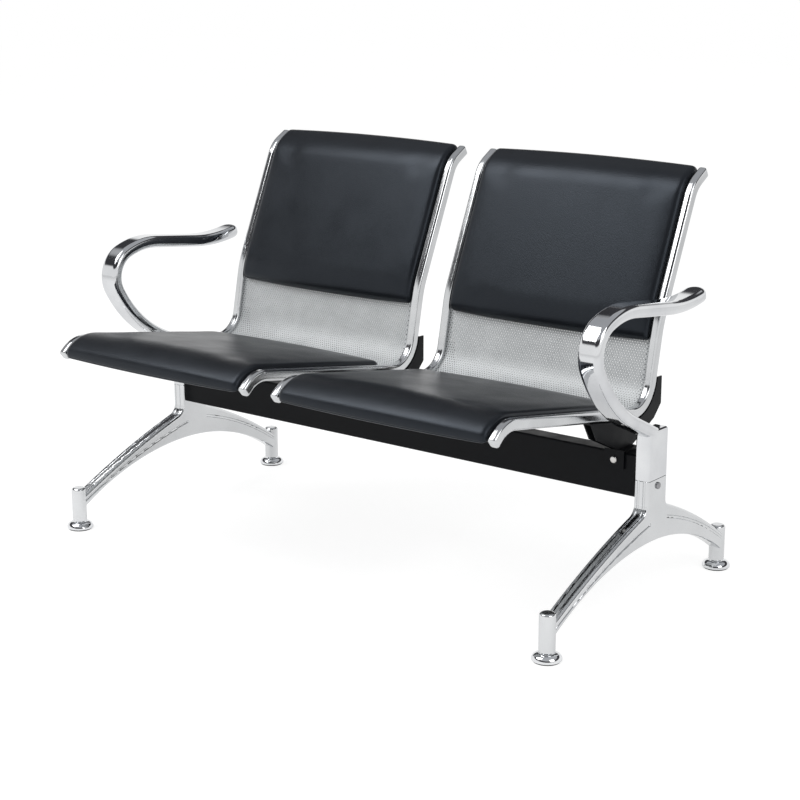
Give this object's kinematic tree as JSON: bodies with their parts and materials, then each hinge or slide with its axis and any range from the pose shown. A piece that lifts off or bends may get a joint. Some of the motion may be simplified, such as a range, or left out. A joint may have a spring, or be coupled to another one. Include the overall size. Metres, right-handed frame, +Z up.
{
  "type": "two-seat waiting bench",
  "caption": "Beam-mounted waiting bench: padded seats and backs on bent rails, arched cast legs, looped armrests and levelling feet.",
  "frame": {"origin": "on the floor, at the middle of the bench's overall box", "axes": "+X along the bench to the viewer's right, -Y towards the front, +Z up"},
  "size_m": [1.216, 0.7179, 0.7859],
  "materials": {
    "beam": "satin black powder coat",
    "brackets": "satin black powder coat",
    "legs": "polished casting",
    "armrests": "mirror-polished casting",
    "rails": "bright chromed tube",
    "caps": "bright chromed plug",
    "sheet": "perforated sheet, silver-grey satin coat",
    "upholstery": "charcoal leatherette, fine matte grain",
    "boards": "raw plywood",
    "screws": "zinc-plated",
    "bright_bolts": "bright plated",
    "glides": "bright chromed dome",
    "stems": "zinc-plated",
    "soles": "black moulded plastic"
  },
  "bodies": {
    "bench": {"beam": "beam", "beam_end_plate_left": "beam", "beam_end_plate_right": "beam", "rail_end_caps": "caps", "pad_screws": "screws", "bracket_rail_screws": "screws", "bracket_bolts": "bright_bolts", "bracket_nuts": "bright_bolts", "leg_screws": "screws", "armrest_screws": "screws", "leg_left": "legs", "armrest_left": "armrests", "seat_shell_left": "sheet", "seat_pad_left": "upholstery", "back_pad_left": "upholstery", "seat_board_left": "boards", "back_board_left": "boards", "rail_left_outer": "rails", "bracket_left_outer": "brackets", "rail_left_inner": "rails", "bracket_left_inner": "brackets", "leg_right": "legs", "armrest_right": "armrests", "seat_shell_right": "sheet", "seat_pad_right": "upholstery", "back_pad_right": "upholstery", "seat_board_right": "boards", "back_board_right": "boards", "rail_right_outer": "rails", "bracket_right_outer": "brackets", "rail_right_inner": "rails", "bracket_right_inner": "brackets"},
    "foot_left_front": {"foot_base_left_front": "glides", "foot_sole_left_front": "soles"},
    "stem_left_front": {"foot_stem_left_front": "stems"},
    "foot_left_rear": {"foot_base_left_rear": "glides", "foot_sole_left_rear": "soles"},
    "stem_left_rear": {"foot_stem_left_rear": "stems"},
    "foot_right_front": {"foot_base_right_front": "glides", "foot_sole_right_front": "soles"},
    "stem_right_front": {"foot_stem_right_front": "stems"},
    "foot_right_rear": {"foot_base_right_rear": "glides", "foot_sole_right_rear": "soles"},
    "stem_right_rear": {"foot_stem_right_rear": "stems"}
  },
  "joints": [
    {"name": "level_left_front", "type": "slide", "parent": "bench", "child": "foot_left_front", "axis": [0, 0, 1], "range_m": [-0.015, 0]},
    {"name": "screw_left_front", "type": "hinge", "parent": "foot_left_front", "child": "stem_left_front", "pos_m": [-0.581, -0.267, 0.03], "axis": [0, 0, 1], "range_deg": [-3600, 0]},
    {"name": "level_left_rear", "type": "slide", "parent": "bench", "child": "foot_left_rear", "axis": [0, 0, 1], "range_m": [-0.015, 0]},
    {"name": "screw_left_rear", "type": "hinge", "parent": "foot_left_rear", "child": "stem_left_rear", "pos_m": [-0.581, 0.332, 0.03], "axis": [0, 0, 1], "range_deg": [-3600, 0]},
    {"name": "level_right_front", "type": "slide", "parent": "bench", "child": "foot_right_front", "axis": [0, 0, 1], "range_m": [-0.015, 0]},
    {"name": "screw_right_front", "type": "hinge", "parent": "foot_right_front", "child": "stem_right_front", "pos_m": [0.581, -0.267, 0.03], "axis": [0, 0, 1], "range_deg": [-3600, 0]},
    {"name": "level_right_rear", "type": "slide", "parent": "bench", "child": "foot_right_rear", "axis": [0, 0, 1], "range_m": [-0.015, 0]},
    {"name": "screw_right_rear", "type": "hinge", "parent": "foot_right_rear", "child": "stem_right_rear", "pos_m": [0.581, 0.332, 0.03], "axis": [0, 0, 1], "range_deg": [-3600, 0]}
  ],
  "couplings": [
    {"joint": "screw_left_front", "follows": "level_left_front", "rad_per_m": 4188.8},
    {"joint": "screw_left_rear", "follows": "level_left_rear", "rad_per_m": 4188.8},
    {"joint": "screw_right_front", "follows": "level_right_front", "rad_per_m": 4188.8},
    {"joint": "screw_right_rear", "follows": "level_right_rear", "rad_per_m": 4188.8}
  ]
}
